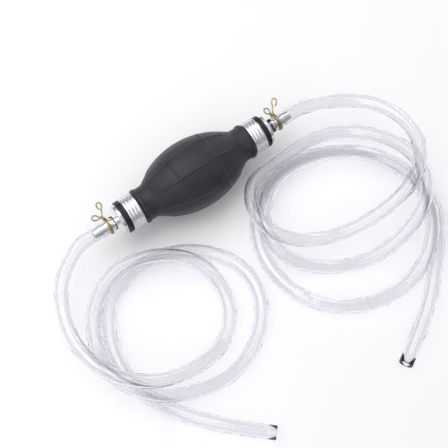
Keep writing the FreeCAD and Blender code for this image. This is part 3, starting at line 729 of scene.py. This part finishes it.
class SIPHON_OT_clamps(bpy.types.Operator):
    """Make the two spring-wire clamps, each one wire with two looped ears"""

    bl_idname = "siphon.clamps"
    bl_label = "Hose Clamps"

    def execute(self, context):
        sizes = context.scene.siphon_pump.clamp
        material = wire_material("Clamp wire", sizes.colour, 0.28)
        for end, side in ENDS.items():
            curve = bpy.data.curves.new("Clamp_line_" + end, "CURVE")
            curve.dimensions = "3D"
            curve.resolution_u = 6
            curve.bevel_depth = sizes.wire_radius
            curve.bevel_resolution = 5
            curve.use_fill_caps = True
            points = self.wire(sizes, end, side)
            spline = curve.splines.new("NURBS")
            spline.points.add(len(points) - 1)
            for point, place in zip(spline.points, points):
                point.co = (*place, 1)
            spline.order_u = 4
            spline.use_endpoint_u = True
            line = bpy.data.objects.new("Clamp_line_" + end, curve)
            context.scene.collection.objects.link(line)
            mesh = bpy.data.meshes.new_from_object(line)
            bpy.data.objects.remove(line)
            bm = bmesh.new()
            bm.from_mesh(mesh)
            bpy.data.meshes.remove(mesh)
            bmesh.ops.remove_doubles(bm, verts=bm.verts, dist=SAME_PLACE)
            bmesh.ops.recalc_face_normals(bm, faces=bm.faces)
            finished_piece(
                "Clamp_" + end, bm, material, end + "_clamp", "clamp_wire", end + "_hose_clamp"
            )
        return {"FINISHED"}

    @staticmethod
    def wire(sizes, end, side):
        """Control points of the wire: down from an end at the tall eye, once round, up and round the
        short eye, back round beside the first turn, and up and round the tall eye."""
        up = Matrix.Rotation(sizes.lean, 3, "X") @ Vector((0, 1, 0))
        outwards = Vector((side, 0, 0))
        across = outwards.cross(up)
        centre = Vector((side * getattr(sizes, end + "_at"), 0, AXIS_Z))
        half = sizes.pitch / 2
        inset = half * 0.6
        part = math.radians(20)
        # A cubic spline runs inside its control points: this puts it on the turn's radius.
        reach = sizes.turn_radius * 6 / (4 + 2 * math.cos(part))
        foot = math.radians(17)

        def place(out, height, over=0.0):
            return centre + outwards * out + up * height + across * over

        def once_round(out, direction):
            turns = []
            count = round((2 * math.pi - 2 * foot) / part)
            for index in range(count + 1):
                angle = direction * (foot + (2 * math.pi - 2 * foot) * index / count)
                turns.append(place(out, reach * math.cos(angle), reach * math.sin(angle)))
            return turns

        def eye(ear, over):
            out, height, shape, opening = CLAMP_EARS[end][ear]
            loop = []
            count = 9
            closing = 0.42
            # The spline runs inside the eye's control points by about a tenth.
            radius = 1.1 * sizes.eye_radius
            first = math.pi - opening
            last = -math.pi + closing
            lean = math.atan2(out, height - sizes.turn_radius)
            for index in range(count + 1):
                angle = first + (last - first) * index / count
                x = radius * math.sin(angle)
                y = radius * shape * math.cos(angle)
                turned = (x * math.cos(lean) + y * math.sin(lean), y * math.cos(lean) - x * math.sin(lean))
                loop.append(place(out + turned[0], height + turned[1], over))
            return loop

        beside = sizes.beside
        tall_neck = sizes.turn_radius + sizes.tall_neck
        short_neck = sizes.turn_radius + sizes.short_neck
        return (
            eye("tall", beside)
            + [place(inset, tall_neck, beside)]
            + once_round(half, 1)
            + [place(inset, short_neck, -beside)]
            + eye("short", -beside)
            + [place(-inset, short_neck, -beside)]
            + once_round(-half, -1)
            + [place(-inset, tall_neck, beside)]
        )


# Hoses -----------------------------------------------------------------------------------------


def smooth_route(name, points):
    """Places along the smooth line that has these control points."""
    curve = bpy.data.curves.new(name, "CURVE")
    curve.dimensions = "3D"
    curve.resolution_u = 10
    spline = curve.splines.new("NURBS")
    spline.points.add(len(points) - 1)
    for point, place in zip(spline.points, points):
        point.co = (*place, 1)
    spline.order_u = 3
    spline.use_endpoint_u = True
    line = bpy.data.objects.new(name, curve)
    bpy.context.scene.collection.objects.link(line)
    mesh = bpy.data.meshes.new_from_object(line)
    places = [vert.co.copy() for vert in mesh.vertices]
    bpy.data.objects.remove(line)
    bpy.data.curves.remove(curve)
    bpy.data.meshes.remove(mesh)
    return places


def bar_along(name, stops, sides):
    """Mesh of an open round bar through (place, radius) stops."""
    curve = bpy.data.curves.new(name, "CURVE")
    curve.dimensions = "3D"
    curve.bevel_depth = 1.0
    curve.bevel_resolution = sides // 2 - 2
    spline = curve.splines.new("POLY")
    spline.points.add(len(stops) - 1)
    for point, (place, radius) in zip(spline.points, stops):
        point.co = (*place, 1)
        point.radius = radius
    line = bpy.data.objects.new(name, curve)
    bpy.context.scene.collection.objects.link(line)
    mesh = bpy.data.meshes.new_from_object(line)
    bpy.data.objects.remove(line)
    bpy.data.curves.remove(curve)
    return mesh


class SIPHON_OT_hoses(bpy.types.Operator):
    """Make the two clear hoses along their routes, stretched over the barbs"""

    bl_idname = "siphon.hoses"
    bl_label = "Hoses"

    def execute(self, context):
        sizes = context.scene.siphon_pump.hose
        material = clear_hose_material("Clear hose", sizes.colour)
        for end, points in HOSE_ROUTES.items():
            places = smooth_route("Route_" + end, points)
            bm = self.tube(sizes, places)
            name = end + "_hose"
            hose = finished_piece("Hose_" + end, bm, material, "pump", "clear_hose", name)
        return {"FINISHED"}

    @staticmethod
    def wall(sizes, run):
        """Outside and inside radius at a distance from the stretched end."""
        taper = 1 - smooth_step((run - sizes.stretch_end) / sizes.stretch_taper)
        swell = sizes.swell * math.cos(2 * math.pi * (run - sizes.swell_at) / sizes.swell_pitch) * taper
        outside = sizes.radius + (sizes.stretch_radius - sizes.radius) * taper + swell
        late = 1 - smooth_step((run - sizes.stretch_end - sizes.bore_lag) / sizes.stretch_taper)
        inside = sizes.bore + (sizes.stretch_bore - sizes.bore) * late
        return outside, inside

    @classmethod
    def tube(cls, sizes, places):
        """A closed wall: an outside and an inside bar, joined by a flat face at each end."""
        edge = sizes.cut_edge
        run = 0.0
        outer = []
        inner = []
        for index, place in enumerate(places):
            run += (place - places[index - 1]).length if index else 0.0
            outside, inside = cls.wall(sizes, run)
            outer.append((place, outside))
            inner.append((place, inside))
        # The edges of both cut faces are slightly rounded.
        for bar, rounding in ((outer, -edge), (inner, edge)):
            start = (places[1] - places[0]).normalized() * edge
            end = (places[-2] - places[-1]).normalized() * edge
            first, last = bar[0], bar[-1]
            bar[:1] = [(first[0], first[1] + rounding), (first[0] + start, first[1])]
            bar[-1:] = [(last[0] + end, last[1]), (last[0], last[1] + rounding)]
        bm = bmesh.new()
        bm.from_mesh(bar_along("Inside", inner, sizes.sides))
        bmesh.ops.reverse_faces(bm, faces=bm.faces)
        bm.from_mesh(bar_along("Outside", outer, sizes.sides))
        open_edges = [item for item in bm.edges if item.is_boundary]
        for place, beside in ((places[0], places[1]), (places[-1], places[-2])):
            near = [item for item in open_edges if (item.verts[0].co - place).length < 2 * sizes.radius]
            cap = bmesh.ops.bridge_loops(bm, edges=near)["faces"]
            for face in cap:
                face.normal_update()
                if face.normal.dot(place - beside) < 0:
                    face.normal_flip()
        return bm


# Stage -----------------------------------------------------------------------------------------


def area_light(name, place, target, width, height, power, colour=(1, 1, 1)):
    """A soft rectangular lamp that points at a target."""
    lamp = bpy.data.lights.new(name, "AREA")
    lamp.shape = "RECTANGLE"
    lamp.size = width
    lamp.size_y = height
    lamp.energy = power
    lamp.color = colour
    item = bpy.data.objects.new(name, lamp)
    aim = Vector(target) - Vector(place)
    item.matrix_world = Matrix.Translation(place) @ aim.to_track_quat("-Z", "Y").to_matrix().to_4x4()
    bpy.context.scene.collection.objects.link(item)
    return item


class SIPHON_OT_stage(bpy.types.Operator):
    """Make the floor, the soft light and the camera"""

    bl_idname = "siphon.stage"
    bl_label = "Stage"

    def execute(self, context):
        stage = context.scene.siphon_pump.stage
        self.camera(context, stage)
        self.floor(context, stage)
        self.light(context)
        return {"FINISHED"}

    @staticmethod
    def camera(context, stage):
        """The camera looks across the whole pump from above its outlet side."""
        level = Vector((math.sin(-stage.azimuth), math.cos(stage.azimuth), 0))
        forward = level * math.cos(stage.elevation) + Vector((0, 0, -math.sin(stage.elevation)))
        right = Vector((level.y, -level.x, 0))
        above = right.cross(forward)
        aim = Vector((0, 0, AXIS_Z)) + right * stage.aside - above * stage.below
        data = bpy.data.cameras.new("Camera")
        data.lens = stage.lens
        data.sensor_width = 36
        camera = bpy.data.objects.new("Camera", data)
        turn = Matrix((right, above, -forward)).transposed().to_4x4()
        camera.matrix_world = Matrix.Translation(aim - forward * stage.distance) @ turn
        context.scene.collection.objects.link(camera)
        context.scene.camera = camera

    @staticmethod
    def floor(context, stage):
        """A wide plain floor."""
        bm = bmesh.new()
        half_width = 4.0
        bmesh.ops.create_grid(bm, x_segments=1, y_segments=1, size=half_width)
        mesh = bpy.data.meshes.new("Floor")
        bm.to_mesh(mesh)
        bm.free()
        mesh.materials.append(floor_material("Pale floor", stage.floor_colour))
        floor = bpy.data.objects.new("Floor", mesh)
        context.scene.collection.objects.link(floor)

    @staticmethod
    def light(context):
        """A room that is pale above and greyer at eye level, with a broad lamp above and two at the
        sides."""
        world = bpy.data.worlds.new("Pale room")
        world.use_nodes = True
        tree = world.node_tree
        direction = add_node(tree, "TexCoord")
        split = add_node(tree, "SeparateXYZ")
        ramp = add_node(tree, "ValToRGB")
        low, high = ramp.color_ramp.elements
        low.position, low.color = 0.05, (0.24, 0.23, 0.27, 1)
        high.position, high.color = 0.75, (0.97, 0.97, 1.0, 1)
        tree.links.new(direction.outputs["Generated"], split.inputs["Vector"])
        tree.links.new(split.outputs["Z"], ramp.inputs["Fac"])
        tree.links.new(ramp.outputs["Color"], tree.nodes["Background"].inputs["Color"])
        tree.nodes["Background"].inputs["Strength"].default_value = 0.72
        context.scene.world = world
        area_light("Overhead lamp", (-0.3, 0.4, 1.2), (0, -0.06, 0), 1.2, 1.2, 8.6)
        area_light("Side lamp", (-0.9, -0.5, 0.7), (0, -0.05, 0.02), 0.5, 0.8, 1.7)
        area_light("Streak lamp", (0.8, 0.5, 0.55), (0, -0.05, 0.02), 0.2, 0.9, 1.35)
        context.scene.view_settings.view_transform = "Standard"


class SIPHON_PT_panel(bpy.types.Panel):
    """Buttons for the pump's pieces"""

    bl_idname = "SIPHON_PT_panel"
    bl_label = "Siphon Pump"
    bl_space_type = "VIEW_3D"
    bl_region_type = "UI"
    bl_category = "Siphon Pump"

    def draw(self, context):
        layout = self.layout
        for operator in OPERATORS:
            layout.operator(operator.bl_idname)
        settings = context.scene.siphon_pump
        for group in (settings.bulb, settings.fitting, settings.clamp, settings.hose, settings.stage):
            box = layout.box()
            for name in group.__annotations__:
                box.prop(group, name)


SETTINGS = (BulbSettings, FittingSettings, ClampSettings, HoseSettings, StageSettings, PumpSettings)
OPERATORS = (
    SIPHON_OT_stage,
    SIPHON_OT_hoses,
    SIPHON_OT_bulb,
    SIPHON_OT_ferrules,
    SIPHON_OT_seals,
    SIPHON_OT_connectors,
    SIPHON_OT_valves,
    SIPHON_OT_clamps,
)


def register():
    """Add the settings, operators and panel to Blender."""
    for item in (*SETTINGS, *OPERATORS, SIPHON_PT_panel):
        bpy.utils.register_class(item)
    bpy.types.Scene.siphon_pump = PointerProperty(type=PumpSettings)


def unregister():
    """Take them out again."""
    del bpy.types.Scene.siphon_pump
    for item in reversed((*SETTINGS, *OPERATORS, SIPHON_PT_panel)):
        bpy.utils.unregister_class(item)


def main():
    """Make the pump and its stage."""
    register()
    bpy.ops.siphon.stage()
    bpy.ops.siphon.hoses()
    bpy.ops.siphon.bulb()
    bpy.ops.siphon.ferrules()
    bpy.ops.siphon.seals()
    bpy.ops.siphon.connectors()
    bpy.ops.siphon.valves()
    bpy.ops.siphon.clamps()


if __name__ == "__main__":
    main()
